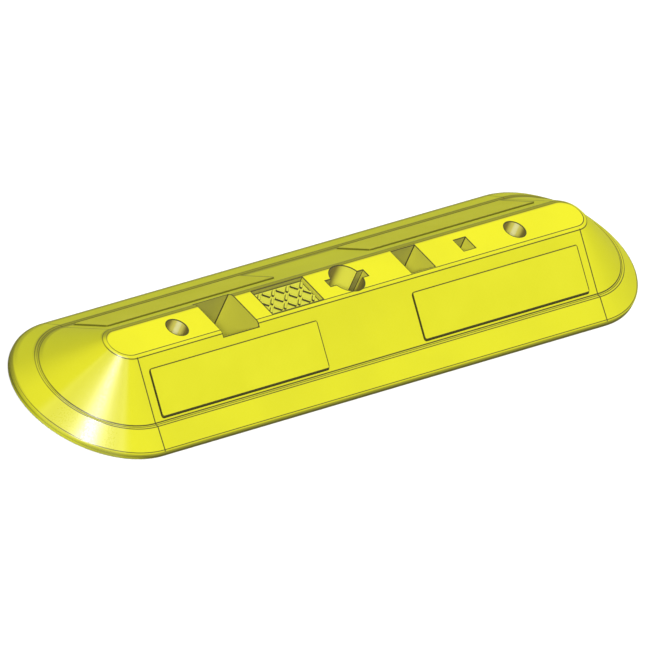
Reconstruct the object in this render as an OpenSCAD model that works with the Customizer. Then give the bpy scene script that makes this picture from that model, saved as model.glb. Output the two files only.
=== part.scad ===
// Flexible lane divider: a low moulded traffic island with reflectors and post sockets.
// Millimetres. X runs along the divider, Y across it, Z up. The origin is the centre of the base.

/* [Body] */
// Overall length of the divider
body_length = 1000; // [900:10:1200]
// Overall width across the base
body_width = 240; // [230:2:260]
// Overall height
body_height = 80; // [74:1:90]
// Height of the upright rim round the base
rim_height = 8; // [5:0.5:11]
// Rounding along the top of the rim
rim_round = 3; // [1:0.5:5]
// Width of the skirt in plan, from the rim to the step
skirt_width = 25; // [20:1:28]
// Height of the step between the skirt and the flank
step_height = 26.5; // [22:0.5:30]
// Width of the step's flat tread
step_width = 4; // [2:0.5:6]
// Rounding in the inner corner of the step
step_round = 3; // [1:0.5:4]
// Width of the crest, measured between the planes of the flanks
crest_width = 50; // [46:1:54]
// Rounding between the crest and the flanks
crest_round = 7.5; // [3:0.5:11]

/* [Underside] */
// Thickness of the moulding over the hollow cells, square to the flank
cell_wall = 12; // [8:1:14]
// Thickness of the ribs between the cells
rib_thickness = 8; // [5:1:12]
// Spacing that the cross ribs are set out to
rib_spacing = 95; // [70:5:110]
// Hollow cells round each end
end_cells = 4; // [3:1:6]
// Width of the foot that stands on the road all round
foot_width = 28; // [22:1:34]

/* [Post sockets] */
// Side of the large square socket
large_socket = 60; // [50:1:62]
// Place of the large socket along the divider
large_socket_x = -205; // [-212:1:-198]
// Side of the medium square socket
medium_socket = 40; // [30:1:44]
// Place of the medium socket along the divider
medium_socket_x = 114; // [108:1:120]
// Side of the small square socket
small_socket = 20; // [14:1:26]
// Place of the small socket along the divider
small_socket_x = 203; // [195:1:215]
// Thickness of the spine's wall beside the large socket
spine_wall = 14; // [10:1:18]

/* [Keyed socket] */
// Diameter of the round post stem's hole
stem_hole = 45; // [38:0.5:47]
// Length across the two key slots
key_length = 64; // [58:1:68]
// Width of the key slots
key_width = 10; // [7:0.5:13]
// Height of the chamber in which the post's lugs turn, under the lock plate
lug_chamber_height = 28; // [20:1:34]

/* [Lock plate] */
// Diameter of the lock plate
lock_plate_diameter = 84; // [82:1:90]
// Thickness of the lock plate
lock_plate_thickness = 6; // [4:0.5:8]
// Diameter of the circle of screws
screw_circle = 72; // [70:1:74]
// Number of screws
screw_count = 4; // [4:4:8]
// Diameter of a screw's shank
screw_diameter = 5; // [4:0.5:5.5]
// Length of a screw, head included
screw_length = 22; // [16:1:28]
// Diameter of a screw's countersunk head
screw_head = 9; // [8:0.5:10]

/* [Anchor holes] */
// Distance between the two anchor holes
anchor_spacing = 580; // [570:2:600]
// Diameter of the well over each anchor
anchor_well = 27.5; // [25:0.5:30]
// Height of the seat under each bush's flange
anchor_seat = 25; // [18:1:32]
// Bore of the steel bush, for an M12 anchor
bush_bore = 14; // [12:0.5:15]
// Outer diameter of the bush's sleeve
bush_sleeve = 20; // [18:0.5:21]
// Diameter of the bush's flange, which the moulding grips at the bottom of the well
bush_flange = 36; // [32:1:42]
// Thickness of the bush's flange
bush_flange_thickness = 4; // [3:0.5:6]

/* [Reflectors] */
// Length of a reflector
reflector_length = 285; // [260:1:290]
// Height of a reflector, measured up the flank
reflector_height = 60; // [50:1:62]
// Distance from a reflector to the end of the straight flank
reflector_end = 13; // [9:1:16]
// Distance down the flank from the crest to a reflector
reflector_drop = 20; // [16:1:22]
// Thickness of a reflector, square to the flank
reflector_thickness = 3.2; // [2.5:0.1:4]
// How far a reflector stands proud of the flank
reflector_proud = 2; // [1:0.1:2.2]
// Rounding of a reflector's corners
reflector_round = 3; // [1:0.5:6]

/* [Tread insert] */
// Length of the recess in the crest
recess_length = 86; // [70:1:90]
// Width of the recess
recess_width = 41; // [36:0.5:42]
// Depth of the recess
recess_depth = 7; // [5:0.5:9]
// Place of the recess along the divider
recess_x = -102; // [-106:1:-98]
// Thickness of the insert's plate
insert_plate = 2; // [1.5:0.1:2.5]
// Height of the raised bars on the plate
bar_height = 2.4; // [1:0.1:2.8]
// Length of a raised bar
bar_length = 11; // [8:0.5:12]
// Width of a raised bar
bar_width = 3.6; // [3.4:0.1:4]
// Rounding of a raised bar's corners
bar_round = 1.4; // [0.4:0.2:1.6]
// Spacing that the bars are set out to
bar_spacing = 12; // [11:0.5:14]

/* [Hidden] */
$fn = 96;
// Clearance round a piece that sits in a pocket
clearance = 0.3;
// How far every cut runs past the surface that it opens
overrun = 10;
body_yellow = [0.95, 0.94, 0.15];
reflector_yellow = [0.90, 0.88, 0.16];
zinc_grey = [0.68, 0.69, 0.70];

half_width = body_width / 2;
straight_length = body_length - body_width;
half_straight = straight_length / 2;
crest_half = crest_width / 2;
step_outer = half_width - skirt_width;
step_inner = step_outer - step_width;
flank_fall = (body_height - step_height) / (step_inner - crest_half);
flank_angle = atan(flank_fall);

spine_half = large_socket / 2 + spine_wall;
cell_outer = half_width - foot_width;
rib_gaps = round(straight_length / rib_spacing);
rib_pitch = straight_length / rib_gaps;

lock_plate_top = lug_chamber_height + lock_plate_thickness;
chamber_radius = lock_plate_diameter / 2 + clearance;
screw_head_depth = (screw_head - screw_diameter) / 2;
screw_point = screw_diameter / 2;

// Height of the flank's plane at a distance from the middle
function flank_height(y) = body_height - (y - crest_half) * flank_fall;

// Upright measure of a thickness taken square to the flank
function upright(thickness) = thickness / cos(flank_angle);

// Distance from the middle at a length down the flank from the crest
function down_flank(length) = crest_half + length * cos(flank_angle);

function unit(v) = v / norm(v);
function corner_angle(p, a, b) = acos(unit(a - p) * unit(b - p));
function corner_reach(p, a, b, r) = r / tan(corner_angle(p, a, b) / 2);
function corner_centre(p, a, b, r) = p + unit(unit(a - p) + unit(b - p)) * r / sin(corner_angle(p, a, b) / 2);

// The sliver between a corner p, with neighbours a and b, and the arc that rounds it
module corner_sliver(p, a, b, r) {
    reach = corner_reach(p, a, b, r);
    centre = corner_centre(p, a, b, r);
    difference() {
        polygon([p, p + unit(a - p) * reach, centre, p + unit(b - p) * reach]);
        translate(centre) circle(r);
    }
}

// A rectangle about the origin with round corners
module rounded_plate(length, width, r) {
    difference() {
        square([length, width], center = true);
        for (sx = [-1, 1], sy = [-1, 1]) {
            corner = [sx * length / 2, sy * width / 2];
            corner_sliver(corner, [0, corner.y], [corner.x, 0], r);
        }
    }
}

// Half of the cross-section, from the middle out to the rim
module half_profile() {
    base_middle = [0, 0];
    rim_foot = [half_width, 0];
    rim_top = [half_width, rim_height];
    step_edge = [step_outer, step_height];
    step_corner = [step_inner, step_height];
    crest_edge = [crest_half, body_height];
    crest_middle = [0, body_height];
    difference() {
        polygon([base_middle, rim_foot, rim_top, step_edge, step_corner, crest_edge, crest_middle]);
        corner_sliver(rim_top, rim_foot, step_edge, rim_round);
        corner_sliver(crest_edge, step_corner, crest_middle, crest_round);
    }
    corner_sliver(step_corner, step_edge, crest_edge, step_round);
}

// Half of the hollow's cross-section: upright sides and a roof parallel to the flank
module half_hollow() {
    spine_roof = flank_height(spine_half) - upright(cell_wall);
    foot_roof = flank_height(cell_outer) - upright(cell_wall);
    polygon([[spine_half, -overrun], [cell_outer, -overrun], [cell_outer, foot_roof], [spine_half, spine_roof]]);
}

// Sweeps a half section along both sides and round both ends
module stadium_sweep() {
    rotate([90, 0, 90])
        linear_extrude(straight_length, center = true)
            children();
    rotate([90, 0, 90])
        linear_extrude(straight_length, center = true)
            mirror([1, 0])
                children();
    for (side = [-1, 1])
        translate([side * half_straight, 0, 0])
            rotate(-side * 90)
                rotate_extrude(angle = 180)
                    children();
}

// The hollow cells under the flanks, parted by ribs and kept clear of the lug chamber
module underside_cells() {
    rib_height = body_height + overrun;
    difference() {
        stadium_sweep() half_hollow();
        for (i = [0 : rib_gaps])
            translate([i * rib_pitch - half_straight - rib_thickness / 2, -half_width, -overrun])
                cube([rib_thickness, body_width, rib_height]);
        for (side = [-1, 1], i = [1 : end_cells - 1])
            translate([side * half_straight, 0, -overrun])
                rotate(180 * i / end_cells - side * 90)
                    translate([0, -rib_thickness / 2, 0])
                        cube([half_width, rib_thickness, rib_height]);
        translate([0, 0, -overrun])
            cylinder(h = rib_height, r = chamber_radius + cell_wall);
    }
}

// A square socket right through the body
module socket_cut(x, side) {
    translate([x - side / 2, -side / 2, -overrun])
        cube([side, side, body_height + 2 * overrun]);
}

// The round post hole with its two key slots, from one height to another
module keyed_cut(low, high) {
    translate([0, 0, low])
        cylinder(h = high - low, d = stem_hole);
    translate([-key_length / 2, -key_width / 2, low])
        cube([key_length, key_width, high - low]);
}

// Places children at each screw of the lock plate
module at_screws() {
    for (i = [0 : screw_count - 1])
        rotate(360 * (i + 1 / 2) / screw_count)
            translate([screw_circle / 2, 0, lug_chamber_height])
                children();
}

// A countersunk screw standing on its head, or the hole for it with a clearance
module screw(grow) {
    head_radius = screw_head / 2 + grow;
    shank_radius = screw_diameter / 2 + grow;
    tip = screw_length + grow;
    rotate_extrude()
        polygon([[0, 0], [head_radius, 0], [shank_radius, screw_head_depth], [shank_radius, tip - screw_point],
                 [0, tip]]);
}

// The lug chamber, the keyed hole over it and the screw holes
module keyed_socket_cut() {
    translate([0, 0, -overrun])
        cylinder(h = lock_plate_top + overrun, r = chamber_radius);
    keyed_cut(lug_chamber_height, body_height + overrun);
    at_screws() screw(clearance);
}

// Places children at both anchor holes
module at_anchors() {
    for (side = [-1, 1])
        translate([side * anchor_spacing / 2, 0, 0])
            children();
}

// The well over an anchor and the room for its bush
module anchor_cut() {
    translate([0, 0, anchor_seat])
        cylinder(h = body_height - anchor_seat + overrun, d = anchor_well);
    translate([0, 0, anchor_seat])
        cylinder(h = bush_flange_thickness, d = bush_flange + 2 * clearance);
    translate([0, 0, -overrun])
        cylinder(h = anchor_seat + 2 * overrun, d = bush_sleeve + 2 * clearance);
}

// The recess in the crest and the hollow under it
module recess_cut() {
    core_top = body_height - recess_depth - cell_wall;
    core_width = 2 * (spine_half - cell_wall);
    translate([recess_x - recess_length / 2, -recess_width / 2, body_height - recess_depth])
        cube([recess_length, recess_width, recess_depth + overrun]);
    translate([recess_x - recess_length / 2, -core_width / 2, -overrun])
        cube([recess_length, core_width, core_top + overrun]);
}

// A slab parallel to the flank between two heights square to it, cut upright to a rounded outline
module flank_slab(low, high, grow) {
    plan_top = down_flank(reflector_drop);
    plan_bottom = down_flank(reflector_drop + reflector_height);
    low_lift = upright(low);
    high_lift = upright(high);
    middle_x = half_straight - reflector_end - reflector_length / 2;
    middle_y = (plan_top + plan_bottom) / 2;
    intersection() {
        translate([middle_x, 0, 0])
            rotate([90, 0, 90])
                linear_extrude(reflector_length + 2 * overrun, center = true)
                    polygon([[crest_half, body_height + low_lift], [step_inner, step_height + low_lift],
                             [step_inner, step_height + high_lift], [crest_half, body_height + high_lift]]);
        translate([middle_x, middle_y, 0])
            linear_extrude(body_height + 2 * overrun)
                rounded_plate(reflector_length + 2 * grow, plan_bottom - plan_top + 2 * grow,
                              reflector_round + grow);
    }
}

// Moves a shape from the rear right to one of the four sides
module at_side(side_x, side_y) {
    mirror([side_x < 0 ? 1 : 0, 0, 0])
        mirror([0, side_y < 0 ? 1 : 0, 0])
            children();
}

module reflector(side_x, side_y) {
    color(reflector_yellow)
        at_side(side_x, side_y)
            flank_slab(reflector_proud - reflector_thickness, reflector_proud, 0);
}

module anchor_bush(side) {
    color(zinc_grey)
        translate([side * anchor_spacing / 2, 0, 0])
            difference() {
                union() {
                    cylinder(h = anchor_seat, d = bush_sleeve);
                    translate([0, 0, anchor_seat])
                        cylinder(h = bush_flange_thickness, d = bush_flange);
                }
                translate([0, 0, -overrun])
                    cylinder(h = anchor_seat + bush_flange_thickness + 2 * overrun, d = bush_bore);
            }
}

module divider_body() {
    color(body_yellow)
        difference() {
            stadium_sweep() half_profile();
            underside_cells();
            socket_cut(large_socket_x, large_socket);
            socket_cut(medium_socket_x, medium_socket);
            socket_cut(small_socket_x, small_socket);
            keyed_socket_cut();
            at_anchors() anchor_cut();
            recess_cut();
            for (side_x = [-1, 1], side_y = [-1, 1])
                at_side(side_x, side_y)
                    flank_slab(reflector_proud - reflector_thickness, overrun, clearance);
        }
}

module lock_plate() {
    color(zinc_grey)
        difference() {
            translate([0, 0, lug_chamber_height])
                cylinder(h = lock_plate_thickness, d = lock_plate_diameter);
            keyed_cut(-overrun, body_height);
            at_screws() screw(clearance);
        }
}

module lock_plate_screws() {
    color(zinc_grey)
        at_screws() screw(0);
}

// A plate with raised bars laid crosswise in turn, as on chequer plate
module tread_insert() {
    plate_length = recess_length - 2 * clearance;
    plate_width = recess_width - 2 * clearance;
    columns = floor(plate_length / bar_spacing);
    rows = floor(plate_width / bar_spacing);
    color(body_yellow)
        translate([recess_x, 0, body_height - recess_depth]) {
            translate([-plate_length / 2, -plate_width / 2, 0])
                cube([plate_length, plate_width, insert_plate]);
            for (i = [0 : columns - 1], j = [0 : rows - 1])
                translate([(i - (columns - 1) / 2) * bar_spacing, (j - (rows - 1) / 2) * bar_spacing, 0])
                    rotate((i + j) % 2 == 0 ? 45 : -45)
                        linear_extrude(insert_plate + bar_height)
                            rounded_plate(bar_length, bar_width, bar_round);
        }
}

module reflector_front_left() { reflector(-1, -1); }
module reflector_front_right() { reflector(1, -1); }
module reflector_rear_left() { reflector(-1, 1); }
module reflector_rear_right() { reflector(1, 1); }
module anchor_bush_left() { anchor_bush(-1); }
module anchor_bush_right() { anchor_bush(1); }

divider_body();
reflector_front_left();
reflector_front_right();
reflector_rear_left();
reflector_rear_right();
anchor_bush_left();
anchor_bush_right();
lock_plate();
lock_plate_screws();
tread_insert();
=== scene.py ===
import math

import bmesh
import bpy
from mathutils import Matrix, Vector


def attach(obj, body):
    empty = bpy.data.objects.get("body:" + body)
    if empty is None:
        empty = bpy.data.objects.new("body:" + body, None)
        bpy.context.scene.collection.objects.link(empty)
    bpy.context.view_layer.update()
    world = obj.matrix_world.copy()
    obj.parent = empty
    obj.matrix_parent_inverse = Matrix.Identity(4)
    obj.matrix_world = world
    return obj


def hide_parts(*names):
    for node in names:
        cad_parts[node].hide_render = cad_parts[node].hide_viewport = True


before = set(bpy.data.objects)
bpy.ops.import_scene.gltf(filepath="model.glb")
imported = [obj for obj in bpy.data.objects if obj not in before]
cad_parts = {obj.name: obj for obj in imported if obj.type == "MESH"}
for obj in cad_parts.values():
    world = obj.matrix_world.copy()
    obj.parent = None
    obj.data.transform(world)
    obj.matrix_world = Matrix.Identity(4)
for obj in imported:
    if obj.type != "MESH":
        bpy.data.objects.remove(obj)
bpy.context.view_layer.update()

# The visual model of a flexible lane divider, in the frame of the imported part

MM = 0.001

# The moulding, in millimetres and with the same driving sizes as the CAD
LENGTH = 1000
WIDTH = 240
HEIGHT = 80
BASE_ROUND = 0.8
RIM_HEIGHT = 8
RIM_ROUND = 3
SKIRT_WIDTH = 25
STEP_HEIGHT = 26.5
STEP_WIDTH = 4
LEDGE_ROUND = 0.6
STEP_ROUND = 3
CREST_WIDTH = 50
CREST_ROUND = 7.5
HALF_WIDTH = WIDTH / 2
HALF_STRAIGHT = (LENGTH - WIDTH) / 2
STEP_OUTER = HALF_WIDTH - SKIRT_WIDTH
STEP_INNER = STEP_OUTER - STEP_WIDTH
CREST_HALF = CREST_WIDTH / 2
FLANK_FALL = (HEIGHT - STEP_HEIGHT) / (STEP_INNER - CREST_HALF)
FLANK_ANGLE = math.atan(FLANK_FALL)

# Room round a piece in its seat, and how far cuts run into each other and out of the body
CLEARANCE = 0.3
OVERLAP = 1
OVERRUN = 10

# The square sockets: where along the body, and how wide
LARGE_SOCKET = 60
SOCKETS = ((-205, LARGE_SOCKET), (114, 40), (203, 20))

# The hollows under the flanks, and the ribs between them
CELL_WALL = 12
SPINE_WALL = 14
FOOT_WIDTH = 28
RIB = 8
RIB_GAPS = 8
END_CELLS = 4
RIB_PITCH = 2 * HALF_STRAIGHT / RIB_GAPS
SPINE_HALF = LARGE_SOCKET / 2 + SPINE_WALL
CELL_OUTER = HALF_WIDTH - FOOT_WIDTH

# The keyed post hole, and the chamber and screw holes of its lock plate
STEM_RADIUS = 22.5
KEY_LENGTH = 64
KEY_WIDTH = 10
CHAMBER_HEIGHT = 28
PLATE_RADIUS = 42
PLATE_THICKNESS = 6
SCREWS = 4
SCREW_CIRCLE = 72
SCREW_RADIUS = 2.5
SCREW_LENGTH = 22
PLATE_TOP = CHAMBER_HEIGHT + PLATE_THICKNESS
CHAMBER_RADIUS = PLATE_RADIUS + CLEARANCE

# The anchor wells, and the pockets of their bushes
ANCHOR_X = 290
WELL_RADIUS = 13.75
SEAT_HEIGHT = 25
SLEEVE_RADIUS = 10
FLANGE_RADIUS = 18
FLANGE_THICKNESS = 4
FLANGE_TOP = SEAT_HEIGHT + FLANGE_THICKNESS

# The reflectors: their height and their drop from the crest are measured down the flank
SHEET_LENGTH = 285
SHEET_HEIGHT = 60
SHEET_END = 13
SHEET_DROP = 20
SHEET_THICKNESS = 3.2
SHEET_PROUD = 2
SHEET_ROUND = 3
POCKET_LIFT = 30
SHEET_START = HALF_STRAIGHT - SHEET_END - SHEET_LENGTH
SHEET_TOP = CREST_HALF + SHEET_DROP * math.cos(FLANK_ANGLE)
SHEET_BOTTOM = CREST_HALF + (SHEET_DROP + SHEET_HEIGHT) * math.cos(FLANK_ANGLE)
SHEET_SEAT = SHEET_PROUD - SHEET_THICKNESS

# The recess in the crest, and the insert in it with its raised bars
RECESS_X = -102
RECESS_LENGTH = 86
RECESS_WIDTH = 41
RECESS_DEPTH = 7
INSERT_PLATE = 2
BAR_HEIGHT = 2.4
BAR_FOOT = 0.5
BAR_LENGTH = 11
BAR_WIDTH = 3.6
BAR_ROUND = 1.4
BAR_TURN = 45
BAR_SPACING = 12
BAR_COLUMNS = 7
BAR_ROWS = 3
RECESS_FLOOR = HEIGHT - RECESS_DEPTH
INSERT_TOP = RECESS_FLOOR + INSERT_PLATE
BAR_TOP = INSERT_TOP + BAR_HEIGHT

# Edges: how wide they are rounded, and the turns in degrees past which they are rounded or shaded sharp
EDGE_WIDTH = 0.6
INSERT_EDGE_WIDTH = 0.4
FINE_EDGE_WIDTH = 0.25
EDGE_STEPS = 2
EDGE_PROFILE = 0.5
ROUNDED_TURN = 28
SHARP_TURN = 40

# How near two points count as one, and how much larger the box round the recess is than the recess
MERGE_GAP = 0.001
BOX_MARGIN = 0.1

# The painted shade on the sides of raised pieces, and how far up a face may look and still be such a side
SIDE_SHADE = 0.95
REAR_SIDE_SHADE = SIDE_SHADE / 2
SHEET_SIDE_FACING = 0.95
INSERT_SIDE_FACING = 0.9

# How many straight steps stand for a round stretch
PROFILE_STEPS = 7
END_STEPS = 64
CELL_STEPS = 12
HOLE_STEPS = 72
SCREW_HOLE_STEPS = 24
CORNER_STEPS = 6

# The photograph's view, in degrees: from the front left, with the camera's top leaning to the left
AZIMUTH = -56.43
ELEVATION = 35.45
ROLL = 24.89

# A very long lens, how much it sees, where it aims, and its clipping as shares of its distance
LENS_MM = 1700
SENSOR_MM = 36
VIEW_WIDTH = 787.6 * MM
AIM_RIGHT = 1.0 * MM
AIM_UP = 2.4 * MM
CLIP_NEAR = 0.01
CLIP_FAR = 3

# The lamps: the direction each shines from, its strength, and its spread in degrees
SUNS = {
    "key": ((-0.205, -0.22, 0.954), 1.94, 8),
    "front": ((-0.68, -0.45, 0.58), 1.75, 12),
    "fill": ((0.42, 0.07, 0.90), 1.23, 60),
}

# The world's light on the object, and the floor's grey where it is seen and where it only lights the object
WORLD_LIGHT = 0.03
FLOOR_SEEN = 0.95
FLOOR_UNSEEN = 0.12
FLOOR_ROUGHNESS = 0.9
FLOOR_SIZE = 60
FLOOR_GAP = 0.3 * MM


# Shapes

def upright(corner):
    """A corner of the section, given as across and height first, as a point."""
    return Vector((corner[0], 0, corner[1]))


def rounded_path(corners, steps):
    """A path through corners given as across, height and radius, with an arc at each that has a radius."""
    path = []
    for index, corner in enumerate(corners):
        here = upright(corner)
        radius = corner[2]
        if radius == 0:
            path.append(here)
            continue
        before = (upright(corners[index - 1]) - here).normalized()
        after = (upright(corners[index + 1]) - here).normalized()
        half = before.angle(after) / 2
        centre = here + (before + after).normalized() * radius / math.sin(half)
        first = here + before * radius / math.tan(half) - centre
        last = here + after * radius / math.tan(half) - centre
        for step in range(steps + 1):
            path.append(centre + first.slerp(last, step / steps).normalized() * radius)
    return path


def stadium(reach, height):
    """A loop at a distance from the body's middle line, anticlockwise from above."""
    loop = []
    for side in (1, -1):
        for step in range(END_STEPS + 1):
            angle = math.pi * (step / END_STEPS - 0.5)
            x = side * (HALF_STRAIGHT + reach * math.cos(angle))
            loop.append((x, side * reach * math.sin(angle), height))
    return loop


def circle(x, y, radius, start=0, end=360, steps=HOLE_STEPS):
    """Points on an arc in plan. A whole circle leaves out its last point, which is its first."""
    count = steps if end - start == 360 else steps + 1
    angles = [math.radians(start + (end - start) * step / steps) for step in range(count)]
    return [(x + radius * math.cos(angle), y + radius * math.sin(angle)) for angle in angles]


def rectangle(x, y, length, width, radius=0, turn=0):
    """A rectangle in plan about a point, anticlockwise, with round corners if it has a radius."""
    points = []
    for quarter, (side_x, side_y) in enumerate(((1, -1), (1, 1), (-1, 1), (-1, -1))):
        corner = (side_x * (length / 2 - radius), side_y * (width / 2 - radius))
        if radius:
            points += circle(*corner, radius, quarter * 90 - 90, quarter * 90, CORNER_STEPS)
        else:
            points.append(corner)
    cosine = math.cos(math.radians(turn))
    sine = math.sin(math.radians(turn))
    turned = []
    for along, aside in points:
        turned.append((x + along * cosine - aside * sine, y + along * sine + aside * cosine))
    return turned


def keyhole():
    """The round post hole with its two key slots, in plan."""
    reach = math.degrees(math.asin(KEY_WIDTH / 2 / STEM_RADIUS))
    upper = circle(0, 0, STEM_RADIUS, reach, 180 - reach)
    right = [(KEY_LENGTH / 2, -KEY_WIDTH / 2), (KEY_LENGTH / 2, KEY_WIDTH / 2)]
    return right + upper + [(-x, -y) for x, y in right + upper]


def at_height(plan, height):
    """A plan outline at one height, or at the height that a function gives for each point."""
    lift = height if callable(height) else lambda x, y: height
    return [(x, y, lift(x, y)) for x, y in plan]


def skin(loops):
    """A closed shape in metres through a stack of loops in millimetres, from the lowest up."""
    shape = bmesh.new()
    rings = [[shape.verts.new(Vector(point) * MM) for point in loop] for loop in loops]
    for lower, upper in zip(rings, rings[1:]):
        for here in range(len(lower)):
            after = (here + 1) % len(lower)
            shape.faces.new((lower[here], lower[after], upper[after], upper[here]))
    shape.faces.new(rings[0][::-1])
    shape.faces.new(rings[-1])
    bmesh.ops.recalc_face_normals(shape, faces=shape.faces)
    return shape


def prism(plan, low, high):
    """A shape with upright sides between two heights, or between two sloping planes."""
    return skin([at_height(plan, low), at_height(plan, high)])


def flank(lift):
    """A function for the height of a plane that lies a distance over the flanks, at a point in plan."""
    return lambda x, y: HEIGHT - (abs(y) - CREST_HALF) * FLANK_FALL + lift / math.cos(FLANK_ANGLE)


def sheet_plan(side_x, side_y, grow):
    """Outline in plan of the reflector on one side and end, grown all round."""
    middle_x = side_x * (SHEET_START + SHEET_LENGTH / 2)
    middle_y = side_y * (SHEET_TOP + SHEET_BOTTOM) / 2
    width = SHEET_BOTTOM - SHEET_TOP + 2 * grow
    return rectangle(middle_x, middle_y, SHEET_LENGTH + 2 * grow, width, SHEET_ROUND + grow)


def cell(outer, inner):
    """A hollow under a flank between two rows of points in plan, with a roof parallel to the flank."""
    shape = bmesh.new()
    roof = flank(-CELL_WALL)
    rows = []
    for plan, reach in ((outer, CELL_OUTER), (inner, SPINE_HALF)):
        for height in (-OVERRUN, roof(0, reach)):
            rows.append([shape.verts.new(Vector((x, y, height)) * MM) for x, y in plan])
    ring = [rows[0], rows[1], rows[3], rows[2]]
    for low, high in zip(ring, ring[1:] + ring[:1]):
        for step in range(len(outer) - 1):
            shape.faces.new((low[step], low[step + 1], high[step + 1], high[step]))
    for end in (0, -1):
        shape.faces.new([row[end] for row in ring])
    bmesh.ops.recalc_face_normals(shape, faces=shape.faces)
    return shape


def straight_cells():
    """The hollows along both straight flanks, with a rib between each two."""
    for gap in range(RIB_GAPS):
        start = gap * RIB_PITCH - HALF_STRAIGHT + RIB / 2
        end = start + RIB_PITCH - RIB
        for side in (-1, 1):
            yield cell([(start, side * CELL_OUTER), (end, side * CELL_OUTER)],
                       [(start, side * SPINE_HALF), (end, side * SPINE_HALF)])


def end_cells():
    """The hollows round both ends, with a rib between each two."""
    for side in (-1, 1):
        for index in range(END_CELLS):
            low = 180 * index / END_CELLS - side * 90
            high = low + 180 / END_CELLS
            rows = []
            for reach in (CELL_OUTER, SPINE_HALF):
                trim = math.degrees(math.asin(RIB / 2 / reach))
                rows.append(circle(side * HALF_STRAIGHT, 0, reach, low + trim, high - trim, CELL_STEPS))
            yield cell(*rows)


def make(name, shape):
    """An object in the scene from a shape, which is freed."""
    mesh = bpy.data.meshes.new(name)
    shape.to_mesh(mesh)
    shape.free()
    made = bpy.data.objects.new(name, mesh)
    bpy.context.scene.collection.objects.link(made)
    return made


def cut(target, shape):
    """Takes a shape out of an object."""
    tool = make("tool", shape)
    modifier = target.modifiers.new("cut", "BOOLEAN")
    modifier.operation = "DIFFERENCE"
    modifier.solver = "MANIFOLD"
    modifier.object = tool
    mesh = bpy.data.meshes.new_from_object(target.evaluated_get(bpy.context.evaluated_depsgraph_get()))
    target.modifiers.clear()
    used = (target.data, tool.data)
    target.data = mesh
    bpy.data.objects.remove(tool)
    for old in used:
        bpy.data.meshes.remove(old)


def inside(edge, box):
    """Whether both ends of an edge lie in a box given by its lowest and highest corner in millimetres."""
    if box is None:
        return False
    low, high = box
    return all(low[axis] <= end.co[axis] / MM <= high[axis] for end in edge.verts for axis in range(3))


def soften(piece, width, fine=None):
    """Rounds every edge with a sharp turn, marks the rounded strips, and shades the rest smooth.

    Edges inside the box given as fine, in millimetres, are rounded less.
    """
    shape = bmesh.new()
    shape.from_mesh(piece.data)
    bmesh.ops.remove_doubles(shape, verts=shape.verts, dist=MERGE_GAP * MM)
    mark = shape.faces.layers.float.new("edge")
    turn = math.radians(ROUNDED_TURN)
    for reach, wanted in ((width, False), (FINE_EDGE_WIDTH, True)):
        sharp = []
        for edge in shape.edges:
            faces = edge.link_faces
            turns = len(faces) == 2 and edge.calc_face_angle() > turn
            if turns and inside(edge, fine) == wanted and not any(face[mark] for face in faces):
                sharp.append(edge)
        corners = list(dict.fromkeys(end for edge in sharp for end in edge.verts))
        made = bmesh.ops.bevel(shape, geom=sharp + corners, affect="EDGES", offset=reach * MM,
                               offset_type="OFFSET", segments=EDGE_STEPS, profile=EDGE_PROFILE,
                               clamp_overlap=False)
        for face in made["faces"]:
            face[mark] = 1.0
    for face in shape.faces:
        face.smooth = True
    shape.to_mesh(piece.data)
    shape.free()
    piece.data.set_sharp_from_angle(angle=math.radians(SHARP_TURN))
    weights = piece.modifiers.new("normals", "WEIGHTED_NORMAL")
    weights.keep_sharp = True


def mark_side_shade(piece, up, limit, share):
    """Marks the faces of a raised piece that stand at its sides, for painted shade."""
    mark = piece.data.attributes["edge"].data
    for face in piece.data.polygons:
        if face.normal.dot(up) < limit:
            mark[face.index].value = share


def clear_marks(piece, height):
    """Takes the marks off what lies at or under a height in millimetres."""
    mark = piece.data.attributes["edge"].data
    limit = (height + MERGE_GAP) * MM
    for face in piece.data.polygons:
        if all(piece.data.vertices[corner].co.z <= limit for corner in face.vertices):
            mark[face.index].value = 0.0


def cut_cells(body):
    """Takes out the hollows under the flanks, which leave a boss round the post hole."""
    boss = prism(circle(0, 0, CHAMBER_RADIUS + CELL_WALL), -2 * OVERRUN, HEIGHT)
    for shape in list(straight_cells()) + list(end_cells()):
        hollow = make("hollow", shape)
        cut(hollow, boss.copy())
        tool = bmesh.new()
        tool.from_mesh(hollow.data)
        bpy.data.meshes.remove(hollow.data)
        cut(body, tool)
    boss.free()


def cut_post_hole(body):
    """Takes out the keyed hole, the chamber under it for the lock plate, and the plate's screw holes."""
    cut(body, prism(circle(0, 0, CHAMBER_RADIUS), -OVERRUN, PLATE_TOP))
    cut(body, prism(keyhole(), 0, HEIGHT + OVERRUN))
    for screw in range(SCREWS):
        angle = math.radians(360 / SCREWS * (screw + 0.5))
        x = SCREW_CIRCLE / 2 * math.cos(angle)
        y = SCREW_CIRCLE / 2 * math.sin(angle)
        plan = circle(x, y, SCREW_RADIUS + CLEARANCE, steps=SCREW_HOLE_STEPS)
        cut(body, prism(plan, CHAMBER_HEIGHT, CHAMBER_HEIGHT + SCREW_LENGTH + CLEARANCE))


def cut_anchor_well(body, x):
    """Takes out a well with the pocket for its bush."""
    cut(body, prism(circle(x, 0, WELL_RADIUS), FLANGE_TOP - OVERLAP, HEIGHT + OVERRUN))
    cut(body, prism(circle(x, 0, FLANGE_RADIUS + CLEARANCE), SEAT_HEIGHT, FLANGE_TOP))
    cut(body, prism(circle(x, 0, SLEEVE_RADIUS + CLEARANCE), -OVERRUN, SEAT_HEIGHT + OVERLAP))


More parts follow.
